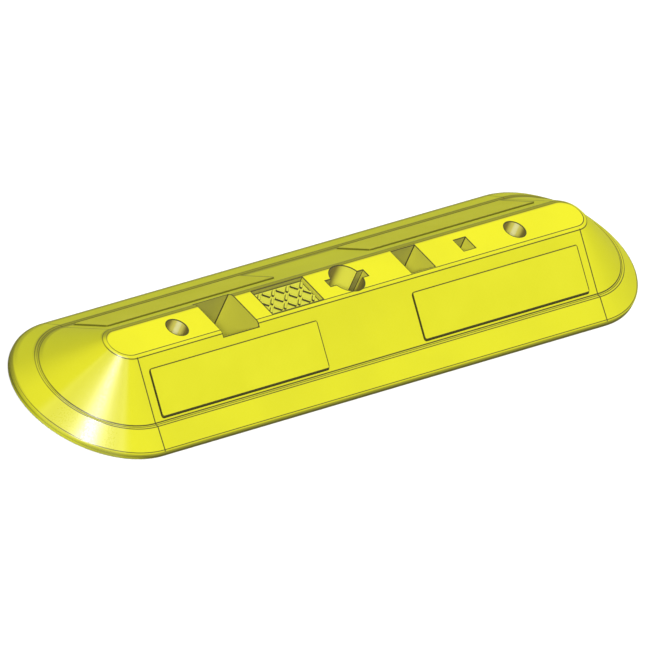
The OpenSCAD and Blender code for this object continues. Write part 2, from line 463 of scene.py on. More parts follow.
def cut_recess(body):
    """Takes out the recess for the insert, and the hollow under it."""
    cut(body, prism(rectangle(RECESS_X, 0, RECESS_LENGTH, RECESS_WIDTH), RECESS_FLOOR, HEIGHT + OVERRUN))
    hollow = rectangle(RECESS_X, 0, RECESS_LENGTH, 2 * (SPINE_HALF - CELL_WALL))
    cut(body, prism(hollow, -OVERRUN, RECESS_FLOOR - CELL_WALL))


def make_body():
    """The moulding: one section swept round both ends, with all its holes, hollows and pockets."""
    corners = [(0, 0, 0), (HALF_WIDTH, 0, BASE_ROUND), (HALF_WIDTH, RIM_HEIGHT, RIM_ROUND),
               (STEP_OUTER, STEP_HEIGHT, LEDGE_ROUND), (STEP_INNER, STEP_HEIGHT, STEP_ROUND),
               (CREST_HALF, HEIGHT, CREST_ROUND), (0, HEIGHT, 0)]
    # The first and the last corner lie on the middle line and only guide the path
    profile = rounded_path(corners, PROFILE_STEPS)[1:-1]
    body = make("moulded_body", skin([stadium(point.x, point.z) for point in profile]))
    cut_cells(body)
    for x, side in SOCKETS:
        cut(body, prism(rectangle(x, 0, side, side), -OVERRUN, HEIGHT + OVERRUN))
    cut_post_hole(body)
    for x in (-ANCHOR_X, ANCHOR_X):
        cut_anchor_well(body, x)
    cut_recess(body)
    for side_x in (-1, 1):
        for side_y in (-1, 1):
            cut(body, prism(sheet_plan(side_x, side_y, CLEARANCE), flank(SHEET_SEAT), flank(POCKET_LIFT)))
    reach = RECESS_LENGTH / 2 + BOX_MARGIN
    recess = ((RECESS_X - reach, -RECESS_WIDTH, RECESS_FLOOR - BOX_MARGIN),
              (RECESS_X + reach, RECESS_WIDTH, HEIGHT + BOX_MARGIN))
    soften(body, EDGE_WIDTH, recess)
    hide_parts("divider_body")
    return body


def make_sheet(side_x, side_y):
    """The reflector on one side and end, seated in its pocket."""
    name = ("front" if side_y < 0 else "rear") + "_" + ("left" if side_x < 0 else "right")
    plan = sheet_plan(side_x, side_y, 0)
    sheet = make("sheet_" + name, prism(plan, flank(SHEET_SEAT), flank(SHEET_PROUD)))
    soften(sheet, EDGE_WIDTH)
    up = Vector((0, side_y * math.sin(FLANK_ANGLE), math.cos(FLANK_ANGLE)))
    mark_side_shade(sheet, up, SHEET_SIDE_FACING, SIDE_SHADE if side_y < 0 else REAR_SIDE_SHADE)
    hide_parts("reflector_" + name)
    return sheet


def make_insert():
    """A plate with raised bars laid crosswise in turn, as on chequer plate."""
    plan = rectangle(RECESS_X, 0, RECESS_LENGTH - 2 * CLEARANCE, RECESS_WIDTH - 2 * CLEARANCE)
    shape = prism(plan, RECESS_FLOOR, INSERT_TOP)
    for column in range(BAR_COLUMNS):
        for row in range(BAR_ROWS):
            x = RECESS_X + (column - (BAR_COLUMNS - 1) / 2) * BAR_SPACING
            y = (row - (BAR_ROWS - 1) / 2) * BAR_SPACING
            turn = BAR_TURN if (column + row) % 2 == 0 else -BAR_TURN
            plan = rectangle(x, y, BAR_LENGTH, BAR_WIDTH, BAR_ROUND, turn)
            bar = prism(plan, INSERT_TOP - BAR_FOOT, BAR_TOP)
            mesh = bpy.data.meshes.new("bar")
            bar.to_mesh(mesh)
            bar.free()
            shape.from_mesh(mesh)
            bpy.data.meshes.remove(mesh)
    insert = make("chequer_insert", shape)
    soften(insert, INSERT_EDGE_WIDTH)
    mark_side_shade(insert, Vector((0, 0, 1)), INSERT_SIDE_FACING, SIDE_SHADE)
    clear_marks(insert, INSERT_TOP)
    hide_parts("tread_insert")
    return insert


# Finishes

def srgb(red, green, blue):
    """A colour given as on a screen, 0 to 255, as linear light."""
    def linear(value):
        share = value / 255
        return share / 12.92 if share <= 0.04045 else ((share + 0.055) / 1.055) ** 2.4
    return (linear(red), linear(green), linear(blue), 1.0)


BODY_YELLOW = srgb(224, 222, 34)
SHEET_YELLOW = srgb(209, 207, 20)
INSERT_YELLOW = srgb(195, 195, 52)
# The dark tone of the painted lines along the edges and of painted shade; also the dark of the reflectors'
# mottle and lattice
DARK_LINE_AND_SHADE = srgb(38, 34, 0)
# Painted light and shade on the walls of the round holes
LIT_WALL = srgb(255, 253, 178)
WELL_HALF_LIT_WALL = srgb(236, 228, 104)
HALF_LIT_WALL = srgb(255, 254, 80)
SHADED_WALL = srgb(152, 140, 54)
ZINC_DARK = srgb(178, 181, 184)
ZINC_PALE = srgb(205, 207, 208)
ZINC_DULL = srgb(150, 152, 150)

# Painted light and shade: tones that multiply the yellow of one region
CREST_SHADE = (0.92, 0.905, 0.25, 1)
FLANK_SHADE = (0.83, 0.825, 0.3, 1)
REAR_FLANK_SHADE = (0.7, 0.73, 0.2, 1)
FAR_END_SHADE = (0.92, 0.935, 0.3, 1)
STEP_SHADE = (0.82, 0.82, 1.0, 1)
REAR_STRIP_SHADE = (0.68, 0.67, 0.75, 1)
POLISH_HIGHLIGHT = (0.97, 0.97, 6.0, 1)
WALL_SHADE = (1.0, 1.0, 3.6, 1)
FRONT_WALL_SHADE = (0.64, 0.64, 1.1, 1)
SLOT_SHADE = (0.78, 0.76, 1.1, 1)
RIM_LIGHT = (1.04, 1.04, 0.9, 1)
END_RIM_LIGHT = (1.16, 1.2, 1.3, 1)
REAR_SHEET_SHADE = (0.81, 0.83, 1.0)

# Shares of that painted light and shade, and of the dark tone of the painted lines and shade
DARK_LINE_AND_SHADE_SHARE = 0.95
SKIRT_FLANK_SHARE = 0.9
SKIRT_FAR_END_SHARE = 0.5
REAR_LINE_SHARE = 0.65
FOOT_SHADE_SHARE = 0.8
FAR_RIM_SHARE = 0.6
BELT_SHADE_SHARES = (0.95, 0.3)
REAR_SHEET_SHARE = 0.7

# Shine and roughness
BODY_SHINE = 0.6
SHEET_SHINE = 0.5
MATT = 0.95
RUBBED = 0.31
RUBBED_SKIRT = 0.285
SPECKLE_ROUGHNESS = 0.03
SHEET_ROUGHNESS = (0.86, 0.94)
ZINC_ROUGHNESS = (0.28, 0.5)

# Noise: its finer and coarser detail, and the middle of its range
FINE_DETAIL = 2.0
MOTTLE_DETAIL = 3.0
NOISE_MIDDLE = (0.3, 0.7)

# Mottling, specks and fine grain of the mouldings, with sizes in millimetres
MOTTLE_SIZE = 120
PALER = 1.02
DEEPER = 0.96
SPECKLE_SIZE = 2.5
SPECK_LIMITS = (0.55, 0.8)
SPECK_SHARE = 0.12
GRAIN_SIZE = 0.9
GRAIN_DEPTH = 0.05
GRAIN_STRENGTH = 0.4

# The zinc's spangle, duller patches and grain, which is as strong as that of the mouldings
SPANGLE_SIZE = 4
SPANGLE_LIMITS = (0.1, 0.9)
PATCH_SIZE = 15
PATCH_LIMITS = (0.45, 0.7)
PATCH_SHARE = 0.5
ZINC_GRAIN_SIZE = 0.4
ZINC_GRAIN_DEPTH = 0.02

# The direction in plan to the front left, where the front lamp and the photograph's camera are
FRONT_LEFT = (-0.834, -0.552)
BACK_RIGHT = (-FRONT_LEFT[0], -FRONT_LEFT[1])

# Limits between which a tone sets in, by the way the surface faces
WALL_FACING = (0.2, 0.4)
FRONT_WALL_FACING = (-0.8, -0.4)
STRAIGHT_RIM_FACING = (0.9, 1.0)
FAR_END_FACING = (-0.05, 0.3)
HALF_LIT_FACING = (0.62, 0.98)
LIT_FACING = (0.95, 1.003)
FOOT_FACING = (0.93, 1.0)
BELT_FACING = (0.97, 1.0)
BELT_LIT_FACING = (0.5, 0.97)

# Limits between which a tone sets in, by the direction in which the point lies from the middle line
REAR_SIDE = (0.48, 0.93)
REAR_FLANK_SIDE = (0.15, 0.98)
FRONT_FLANK_SIDE = (0.56, 1.0)
REAR_LINE_SIDE = (-0.3, 0.4)
FAR_RIM_SIDE = (0.0, 0.35)
GLOSS_AND_HIGHLIGHT_SIDE = (0.82, 0.95)

# Limits as distances from the body's middle line, in millimetres
CREST_END = (CREST_HALF - 5, CREST_HALF - 3)
FLANK_START = (CREST_HALF - 3.5, CREST_HALF - 1.5)
GLOSS_AND_HIGHLIGHT_START = (CREST_HALF - 2, CREST_HALF + 2)
SEAM_START = (CREST_HALF + 0.6, CREST_HALF + 1.6)
STEP_STRIP = (STEP_INNER - 1.4, STEP_OUTER + 0.6)
STEP_SOFT = 0.4
SKIRT_START = (STEP_OUTER - 2, STEP_OUTER)
RUBBED_SKIRT_START = (STEP_OUTER - 2, STEP_OUTER + 1)
REAR_FOOT_START = (HALF_WIDTH - 9, HALF_WIDTH - 5)
FAR_RIM_START = (HALF_WIDTH - 4.2, HALF_WIDTH - 2.2)
RIM_START = (HALF_WIDTH - 3, HALF_WIDTH - 1)
OUTLINE_START = (HALF_WIDTH - 2, HALF_WIDTH - 0.5)

# Strips of painted shade on the rear side: their limits from the middle line, and how soft these are
REAR_ROUNDS = (((CREST_HALF - 4.5, CREST_HALF + 4), 1), ((STEP_INNER - 5, STEP_OUTER + 2), 1.5))
REAR_LEDGES = (((CREST_HALF - 3.5, CREST_HALF + 2), 0.5), ((STEP_INNER, STEP_OUTER + 0.5), 0.5))

# The lines round the body, as distances from its middle line and widths, and the seams across it
LOOPS = ((CREST_HALF - 2.8, 1.6), (CREST_HALF + 2.1, 1.3), (STEP_INNER - 0.9, 1.5),
         (STEP_INNER + 1.1, 1.1), (STEP_OUTER, 1.25), (HALF_WIDTH - 1.5, 1.0))
SEAM_WIDTH = 2.2

# Where a line fades out on either side of its middle, in shares of its width
LINE_FADE = (0.2, 0.6)

# The lines round the holes: how much larger than the holes, where they fade, and down which corners
RECESS_LINE_GROW = (1.4, 0.6)
KEY_LINE_GROW = 0.6
ROUND_LINE_GROW = 0.4
HOLE_LINE_FADE = (0.9, 1.5)
CORNER_LINE = (-1.4, -0.7)
CORNER_REACH = (1, 2)
INSERT_BORDER = (-2.2, -1.6)

# Limits at the walls of the holes and in the key slots, and up the rim
WALL_REACH = (0.5, 1)
SLOT_START = (STEM_RADIUS - 0.5, STEM_RADIUS + 0.5)
SLOT_DEPTH = (HEIGHT - 18, HEIGHT - 6)
FOOT_HEIGHT = (2.5, 6.2)
BELT_HEIGHT = (3.2, 5.2)
BELT_SOFT = 0.9

# The reflectors' mottling and lattice, and their border as distances from each edge
SHEET_MOTTLE_SIZE = 60
SHEET_MOTTLE_SHARE = 0.03
LATTICE_PITCH = 7
LATTICE_SLANT = 1.28
LATTICE_WIDTH = 0.9
LATTICE_SHARE = 0.015
LATTICE_DEPTH = 0.01
LATTICE_STRENGTH = 0.3
FRONT_HALF = (-8, 8)
RIGHT_BORDER = (2.1, 1.4)
LEFT_BORDER = (0.6, 0.2)
UPPER_BORDER = (1.5, 1.0)
LOWER_BORDER = (0.4, 0.1)
REAR_BORDER_GROW = 1.6


class Shader:
    """A node material under construction, with short calls for its nodes."""

    def __init__(self, name):
        self.material = bpy.data.materials.new(name)
        self.material.use_nodes = True
        self.tree = self.material.node_tree
        self.tree.nodes.clear()
        self.surface = self.tree.nodes.new("ShaderNodeBsdfPrincipled")
        output = self.tree.nodes.new("ShaderNodeOutputMaterial")
        self.tree.links.new(self.surface.outputs["BSDF"], output.inputs["Surface"])

    def feed(self, socket, value):
        """Feeds a socket from a node's output, or sets its value."""
        if isinstance(value, bpy.types.NodeSocket):
            self.tree.links.new(value, socket)
        else:
            socket.default_value = value

    def node(self, kind, **inputs):
        made = self.tree.nodes.new(kind)
        for name, value in inputs.items():
            self.feed(made.inputs[name], value)
        return made

    def math(self, operation, first, second=0.0):
        made = self.tree.nodes.new("ShaderNodeMath")
        made.operation = operation
        self.feed(made.inputs[0], first)
        self.feed(made.inputs[1], second)
        return made.outputs[0]

    def plus(self, first, second):
        return self.math("ADD", first, second)

    def minus(self, first, second):
        return self.math("SUBTRACT", first, second)

    def times(self, first, second):
        return self.math("MULTIPLY", first, second)

    def over(self, first, second):
        return self.math("DIVIDE", first, second)

    def absolute(self, value):
        return self.math("ABSOLUTE", value)

    def most(self, first, *others):
        for value in others:
            first = self.math("MAXIMUM", first, value)
        return first

    def least(self, first, *others):
        for value in others:
            first = self.math("MINIMUM", first, value)
        return first

    def rest(self, share):
        """What a share leaves of 1."""
        return self.minus(1.0, share)

    def mix(self, share, first, second, blend="MIX"):
        made = self.tree.nodes.new("ShaderNodeMix")
        made.data_type = "RGBA"
        made.blend_type = blend
        self.feed(made.inputs["Factor"], share)
        self.feed(made.inputs["A"], first)
        self.feed(made.inputs["B"], second)
        return made.outputs["Result"]

    def tint(self, base, share, tone):
        """Multiplies a colour by a tone, as far as the share says."""
        return self.mix(share, base, tone, "MULTIPLY")

    def ramp(self, value, low, high, out_low=0.0, out_high=1.0):
        """Maps a value smoothly from one range to another, and holds it there."""
        made = self.tree.nodes.new("ShaderNodeMapRange")
        made.interpolation_type = "SMOOTHSTEP"
        for name, number in (("Value", value), ("From Min", low), ("From Max", high),
                             ("To Min", out_low), ("To Max", out_high)):
            self.feed(made.inputs[name], number)
        return made.outputs["Result"]

    def past(self, distance, limits, before=0.0, after=1.0):
        """Goes smoothly from one value to another as a distance passes two limits in millimetres."""
        return self.ramp(distance, limits[0] * MM, limits[1] * MM, before, after)

    def within(self, distance, limits):
        """1 up to the first of two limits in millimetres, and 0 past the second."""
        return self.past(distance, limits, 1.0, 0.0)

    def strip(self, distance, limits, soft):
        """1 where a distance lies between two limits in millimetres, with soft ends."""
        low, high = limits
        return self.times(self.past(distance, (low - soft, low + soft)),
                          self.within(distance, (high - soft, high + soft)))

    def line(self, distance, width):
        """1 on a line where the distance is zero, which fades out by its width in millimetres."""
        return self.within(self.absolute(distance), (width * LINE_FADE[0], width * LINE_FADE[1]))

    def parts(self, vector):
        made = self.node("ShaderNodeSeparateXYZ", Vector=vector).outputs
        return made["X"], made["Y"], made["Z"]

    def place(self):
        """The point on the object, in metres."""
        return self.tree.nodes.new("ShaderNodeTexCoord").outputs["Object"]

    def facing(self):
        """The direction that the surface faces."""
        return self.tree.nodes.new("ShaderNodeNewGeometry").outputs["Normal"]

    def along(self, x, y, direction):
        """How far a vector in plan goes in a direction."""
        return self.plus(self.times(x, direction[0]), self.times(y, direction[1]))

    def length(self, x, y):
        return self.math("SQRT", self.plus(self.times(x, x), self.times(y, y)))

    def box(self, x, y, length, width):
        """How far a point in plan lies past the sides of a rectangle in millimetres, in x and in y."""
        return self.minus(self.absolute(x), length / 2 * MM), self.minus(self.absolute(y), width / 2 * MM)

    def disc(self, x, y, radius):
        """How far a point in plan lies outside a circle about the origin, with its radius in millimetres."""
        return self.minus(self.length(x, y), radius * MM)

    def edge(self):
        """The mark for dark lines on the rounded edges and for painted shade on the sides of raised pieces.
        """
        made = self.tree.nodes.new("ShaderNodeAttribute")
        made.attribute_name = "edge"
        return made.outputs["Fac"]

    def noise(self, point, size, detail=FINE_DETAIL):
        """Noise about 0.5 whose features are about the given size in millimetres."""
        made = self.node("ShaderNodeTexNoise", Vector=point, Scale=1 / (size * MM), Detail=detail)
        return made.outputs["Fac"]

    def bump(self, height, depth, strength):
        made = self.node("ShaderNodeBump", Strength=strength, Distance=depth * MM, Height=height)
        return made.outputs["Normal"]

    def finish(self, color, roughness, normal):
        self.feed(self.surface.inputs["Base Color"], color)
        self.feed(self.surface.inputs["Roughness"], roughness)
        self.feed(self.surface.inputs["Normal"], normal)
        return self.material


class Spot:
    """A point on a moulding: its place, the way it faces, whether a wall stands there, and its specks."""

    def __init__(self, shader):
        self.point = shader.place()
        self.x, self.y, self.z = shader.parts(self.point)
        self.facing_x, self.facing_y, up = shader.parts(shader.facing())
        self.walls = shader.ramp(up, *WALL_FACING, 1.0, 0.0)
        self.speckle = shader.noise(self.point, SPECKLE_SIZE)


class BodySpot(Spot):
    """A point on the body: also how far it lies across from the middle line, and to which side."""

    def __init__(self, shader):
        super().__init__(shader)
        self.outside = shader.rest(self.walls)
        past_end = shader.most(shader.minus(shader.absolute(self.x), HALF_STRAIGHT * MM), 0.0)
        self.across = shader.length(past_end, self.y)
        self.rearward = shader.over(self.y, self.across)
        self.rear = shader.ramp(self.rearward, *REAR_SIDE)
        # How far the surface faces the front left, which sets the painted light and shade
        self.lit = shader.along(self.facing_x, self.facing_y, FRONT_LEFT)


def scaled(color, red, green, blue):
    """A colour with its red, green and blue multiplied."""
    return (color[0] * red, color[1] * green, color[2] * blue, 1.0)


def soft_yellow(shader, spot, color):
    """Soft moulded polymer, slightly mottled and with deeper specks."""
    paler = scaled(color, PALER, PALER, PALER)
    deeper = scaled(color, DEEPER, DEEPER, DEEPER)
    mottle = shader.noise(spot.point, MOTTLE_SIZE, MOTTLE_DETAIL)
    base = shader.mix(shader.ramp(mottle, *NOISE_MIDDLE), deeper, paler)
    return shader.mix(shader.ramp(spot.speckle, *SPECK_LIMITS, 0.0, SPECK_SHARE), base, deeper)


def painted_wall_shade(shader, spot, base, tone):
    """Painted shade on the upright walls: an olive tint, darker still where they face the front."""
    base = shader.tint(base, spot.walls, tone)
    frontward = shader.ramp(spot.facing_y, *FRONT_WALL_FACING, 1.0, 0.0)
    return shader.tint(base, shader.times(spot.walls, frontward), FRONT_WALL_SHADE)


def wall_shade_and_rim_light(shader, spot):
    """The painted shade of the walls of the holes, and the painted light on the rim, which is paler at the
    round ends.
    """
    straight = shader.ramp(shader.absolute(spot.facing_y), *STRAIGHT_RIM_FACING)
    rim_light = shader.mix(straight, END_RIM_LIGHT, RIM_LIGHT)
    return shader.mix(shader.past(spot.across, RIM_START), WALL_SHADE, rim_light)


def outside_painted_shade(shader, spot, base):
    """Painted shade on the flanks, the far end, the crest and the step."""
    beyond_crest = shader.times(shader.past(spot.across, FLANK_START), spot.outside)
    front = shader.ramp(spot.rearward, *FRONT_FLANK_SIDE, 1.0, 0.0)
    near = shader.times(front, shader.past(spot.across, SKIRT_START, 1.0, SKIRT_FLANK_SHARE))
    base = shader.tint(base, shader.times(beyond_crest, near), FLANK_SHADE)
    rear = shader.ramp(spot.rearward, *REAR_FLANK_SIDE)
    base = shader.tint(base, shader.times(beyond_crest, rear), REAR_FLANK_SHADE)
    far_end = shader.times(shader.ramp(spot.facing_x, *FAR_END_FACING), front)
    far_end = shader.times(far_end, shader.past(spot.across, SKIRT_START, 1.0, SKIRT_FAR_END_SHARE))
    base = shader.tint(base, shader.times(beyond_crest, far_end), FAR_END_SHADE)
    crest = shader.times(shader.within(spot.across, CREST_END), spot.outside)
    base = shader.tint(base, crest, CREST_SHADE)
    step = shader.times(shader.strip(spot.across, STEP_STRIP, STEP_SOFT), spot.outside)
    return shader.tint(base, step, STEP_SHADE)


def rear_painted_shade(shader, spot, base):
    """Painted shade in strips along the rear side, at its rounds and its foot, and once more on its ledges.
    """
    rear = shader.times(spot.rear, spot.outside)
    rounds = [shader.strip(spot.across, *strip) for strip in REAR_ROUNDS]
    rounds.append(shader.past(spot.across, REAR_FOOT_START))
    ledges = [shader.strip(spot.across, *strip) for strip in REAR_LEDGES]
    for strips in (rounds, ledges):
        base = shader.tint(base, shader.times(shader.most(*strips), rear), REAR_STRIP_SHADE)
    return base


def past_well(shader, spot, grow=0):
    """How far a point lies outside the nearer well, whose radius may be taken larger."""
    return shader.disc(shader.minus(shader.absolute(spot.x), ANCHOR_X * MM), spot.y, WELL_RADIUS + grow)


def round_hole_painted_light(shader, spot, base):
    """Painted light and shade on the walls of the round holes, which are palest where they face the front
    left.
    """
    well = shader.within(past_well(shader, spot), WALL_REACH)
    stem = shader.within(shader.disc(spot.x, spot.y, STEM_RADIUS), WALL_REACH)
    half_lit = shader.mix(well, HALF_LIT_WALL, WELL_HALF_LIT_WALL)
    tone = shader.mix(shader.ramp(spot.lit, *HALF_LIT_FACING), SHADED_WALL, half_lit)
    tone = shader.mix(shader.times(shader.ramp(spot.lit, *LIT_FACING), well), tone, LIT_WALL)
    return shader.mix(shader.times(shader.most(well, stem), spot.walls), base, tone)


def slot_painted_shade(shader, spot, base):
    """Painted shade deep in the key slots."""
    key = shader.within(shader.most(*shader.box(spot.x, spot.y, KEY_LENGTH, KEY_WIDTH)), WALL_REACH)
    slot = shader.times(key, shader.past(shader.absolute(spot.x), SLOT_START))
    deep = shader.times(slot, shader.within(spot.z, SLOT_DEPTH))
    return shader.tint(base, shader.times(deep, spot.walls), SLOT_SHADE)


def moulding_lines(shader, spot):
    """The fine dark lines along the body's edges and across its ends, fainter on the rear side."""
    lines = [shader.line(shader.minus(spot.across, reach * MM), width) for reach, width in LOOPS]
    seam = shader.line(shader.minus(shader.absolute(spot.x), HALF_STRAIGHT * MM), SEAM_WIDTH)
    lines.append(shader.times(seam, shader.past(spot.across, SEAM_START)))
    shown = shader.times(shader.most(*lines), spot.outside)
    return shader.times(shown, shader.ramp(spot.rearward, *REAR_LINE_SIDE, 1.0, REAR_LINE_SHARE))


def hole_lines(shader, spot):
    """Dark lines round the holes of the crest and down the corners of the square ones."""
    grow_x, grow_y = RECESS_LINE_GROW
    squares = [(middle, side, side) for middle, side in SOCKETS]
    squares.append((RECESS_X, RECESS_LENGTH + grow_x, RECESS_WIDTH + grow_y))
    outlines = []
    corners = []
    for middle, length, width in squares:
        past = shader.box(shader.minus(spot.x, middle * MM), spot.y, length, width)
        outline = shader.most(*past)
        outlines.append(outline)
        corner = shader.past(shader.least(*past), CORNER_LINE)
        corners.append(shader.times(corner, shader.within(outline, CORNER_REACH)))
    key = shader.box(spot.x, spot.y, KEY_LENGTH + KEY_LINE_GROW, KEY_WIDTH + KEY_LINE_GROW)
    outlines.append(shader.most(*key))
    outlines.append(shader.disc(spot.x, spot.y, STEM_RADIUS + ROUND_LINE_GROW))
    outlines.append(past_well(shader, spot, ROUND_LINE_GROW))
    around = shader.times(shader.within(shader.least(*outlines), HOLE_LINE_FADE), spot.outside)
    return shader.most(around, shader.times(shader.most(*corners), spot.walls))


def foot_outline_and_shade(shader, spot):
    """The dark outline and painted shade low on the rim: at the foot of the straight sides, and in a belt
    round the ends that is faintest where they face the front left.
    """
    sideways = shader.absolute(spot.facing_y)
    foot = shader.times(shader.within(spot.z, FOOT_HEIGHT),
                        shader.ramp(sideways, *FOOT_FACING, 0.0, FOOT_SHADE_SHARE))
    belt = shader.times(shader.strip(spot.z, BELT_HEIGHT, BELT_SOFT),
                        shader.ramp(spot.lit, *BELT_LIT_FACING, *BELT_SHADE_SHARES))
    belt = shader.times(belt, shader.ramp(sideways, *BELT_FACING, 1.0, 0.0))
    return shader.times(shader.most(foot, belt), shader.past(spot.across, OUTLINE_START))


def rim_outline(shader, spot):
    """The dark outline on top of the rim, on the rear side and round the back of the right end."""
    past_end = shader.most(shader.minus(spot.x, HALF_STRAIGHT * MM), 0.0)
    outward = shader.over(shader.along(past_end, spot.y, BACK_RIGHT), spot.across)
    rim = shader.past(spot.across, FAR_RIM_START, 0.0, FAR_RIM_SHARE)
    return shader.times(rim, shader.most(spot.rear, shader.ramp(outward, *FAR_RIM_SIDE)))


def glossy_end_and_highlight(shader, spot):
    """1 on the left end's part to the front left, which is rubbed glossy and carries a painted highlight,
    and 0 elsewhere.
    """
    past_end = shader.least(shader.plus(spot.x, HALF_STRAIGHT * MM), 0.0)
    outward = shader.over(shader.along(past_end, spot.y, FRONT_LEFT), spot.across)
    return shader.times(shader.ramp(outward, *GLOSS_AND_HIGHLIGHT_SIDE), shader.past(spot.across, GLOSS_AND_HIGHLIGHT_START))


def darkened(shader, base, share):
    """A colour with the dark tone of the painted lines and shade on it, as far as the share says."""
    return shader.mix(shader.times(share, DARK_LINE_AND_SHADE_SHARE), base, DARK_LINE_AND_SHADE)


def rubber(shader, spot, base, roughness):
    """The finished moulding, with a fine grain and speckled roughness."""
    speckle = shader.ramp(spot.speckle, *NOISE_MIDDLE, -SPECKLE_ROUGHNESS, SPECKLE_ROUGHNESS)
    shader.surface.inputs["Specular IOR Level"].default_value = BODY_SHINE
    grain = shader.bump(shader.noise(spot.point, GRAIN_SIZE), GRAIN_DEPTH, GRAIN_STRENGTH)
    return shader.finish(base, shader.plus(speckle, roughness), grain)


def body_rubber():
    """The body's moulding: painted light and shade on its regions, dark lines and outlines, and an end
    rubbed glossy with a painted highlight on it.
    """
    shader = Shader("body_rubber")
    spot = BodySpot(shader)
    base = soft_yellow(shader, spot, BODY_YELLOW)
    base = painted_wall_shade(shader, spot, base, wall_shade_and_rim_light(shader, spot))
    base = outside_painted_shade(shader, spot, base)
    base = rear_painted_shade(shader, spot, base)
    base = round_hole_painted_light(shader, spot, base)
    base = slot_painted_shade(shader, spot, base)
    dark = shader.most(shader.edge(), moulding_lines(shader, spot), hole_lines(shader, spot),
                       foot_outline_and_shade(shader, spot), rim_outline(shader, spot))
    base = darkened(shader, base, dark)
    gloss_and_highlight = glossy_end_and_highlight(shader, spot)
    # A paler tone painted on the glossy end as a highlight
    base = shader.tint(base, shader.times(gloss_and_highlight, spot.outside), POLISH_HIGHLIGHT)
    rubbed = shader.past(spot.across, RUBBED_SKIRT_START, RUBBED, RUBBED_SKIRT)
    return rubber(shader, spot, base, shader.ramp(gloss_and_highlight, 0.0, 1.0, MATT, rubbed))


def insert_rubber():
    """The insert's moulding, which is dark along its border and along its bars, whose sides carry painted
    shade.
    """
    shader = Shader("insert_rubber")
    spot = Spot(shader)
    base = soft_yellow(shader, spot, INSERT_YELLOW)
    base = painted_wall_shade(shader, spot, base, WALL_SHADE)
    past = shader.box(shader.minus(spot.x, RECESS_X * MM), spot.y, RECESS_LENGTH, RECESS_WIDTH)
    dark = shader.most(shader.edge(), shader.past(shader.most(*past), INSERT_BORDER))
    return rubber(shader, spot, darkened(shader, base, dark), MATT)


def sheet_lattice(shader, x, y):
    """1 on the seams between the sheet's sealed cells."""
    seams = []
    for slant in (-LATTICE_SLANT, LATTICE_SLANT):
        run = shader.plus(x, shader.times(y, slant))
        seams.append(shader.line(shader.math("PINGPONG", run, LATTICE_PITCH / 2 * MM), LATTICE_WIDTH))
    return shader.most(*seams)


def sheet_border(shader, x, y, front):
    """1 on the sealed border of a sheet, which is wider at the right ends of the rear ones."""
    half_length = SHEET_LENGTH / 2
    half_height = (SHEET_BOTTOM - SHEET_TOP) / 2
    middle_x = shader.times(shader.math("SIGN", x), (SHEET_START + half_length) * MM)
    from_x = shader.minus(x, middle_x)
    from_y = shader.minus(shader.absolute(y), (SHEET_TOP + half_height) * MM)
    wider = shader.times(shader.rest(front), REAR_BORDER_GROW * MM)
    edges = ((shader.plus(from_x, wider), 1, half_length, RIGHT_BORDER),
             (from_x, -1, half_length, LEFT_BORDER),
             (from_y, -1, half_height, UPPER_BORDER),
             (from_y, 1, half_height, LOWER_BORDER))
    strips = []
    for distance, side, half, (inner, outer) in edges:
        strips.append(shader.past(distance, (side * (half - inner), side * (half - outer))))
    return shader.most(*strips)


def reflective_sheet():
    """Yellow prismatic sheet: a fine lattice of sealed cells, a dark border, and painted shade on the rear
    ones.
    """
    shader = Shader("reflector_sheet")
    point = shader.place()
    x, y = shader.parts(point)[:2]
    lattice = sheet_lattice(shader, x, y)
    mottle = shader.noise(point, SHEET_MOTTLE_SIZE, MOTTLE_DETAIL)
    front = shader.within(y, FRONT_HALF)
    # The rear sheets are painted darker with shade
    base = shader.mix(front, scaled(SHEET_YELLOW, *REAR_SHEET_SHADE), SHEET_YELLOW)
    base = shader.mix(shader.ramp(mottle, *NOISE_MIDDLE, 0.0, SHEET_MOTTLE_SHARE), base, DARK_LINE_AND_SHADE)
    base = shader.mix(shader.times(lattice, LATTICE_SHARE), base, DARK_LINE_AND_SHADE)
    dark = shader.most(shader.edge(), sheet_border(shader, x, y, front))
    base = darkened(shader, base, shader.times(dark, shader.ramp(front, 0.0, 1.0, REAR_SHEET_SHARE, 1.0)))
    roughness = shader.ramp(mottle, *NOISE_MIDDLE, *SHEET_ROUGHNESS)
    shader.surface.inputs["Specular IOR Level"].default_value = SHEET_SHINE
    return shader.finish(base, roughness, shader.bump(lattice, LATTICE_DEPTH, LATTICE_STRENGTH))


def zinc_plate():
    """Zinc-plated steel, with a faint spangle and a few duller patches."""
    shader = Shader("zinc_steel")
    point = shader.place()
    cells = shader.node("ShaderNodeTexVoronoi", Vector=point, Scale=1 / (SPANGLE_SIZE * MM))
    patch = shader.noise(point, PATCH_SIZE, MOTTLE_DETAIL)
    base = shader.mix(shader.ramp(cells.outputs["Distance"], *SPANGLE_LIMITS), ZINC_DARK, ZINC_PALE)
    base = shader.mix(shader.ramp(patch, *PATCH_LIMITS, 0.0, PATCH_SHARE), base, ZINC_DULL)
    shader.surface.inputs["Metallic"].default_value = 1.0
    roughness = shader.ramp(patch, *NOISE_MIDDLE, *ZINC_ROUGHNESS)
    grain = shader.bump(shader.noise(point, ZINC_GRAIN_SIZE), ZINC_GRAIN_DEPTH, GRAIN_STRENGTH)
    return shader.finish(base, roughness, grain)


def dress(piece, material, slot=None):
    """Gives a piece its finish. A new piece, which is given a slot name, also rides on the one body."""
    piece.data.materials.clear()
    piece.data.materials.append(material)
    if slot:
        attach(piece, "root")


# Studio

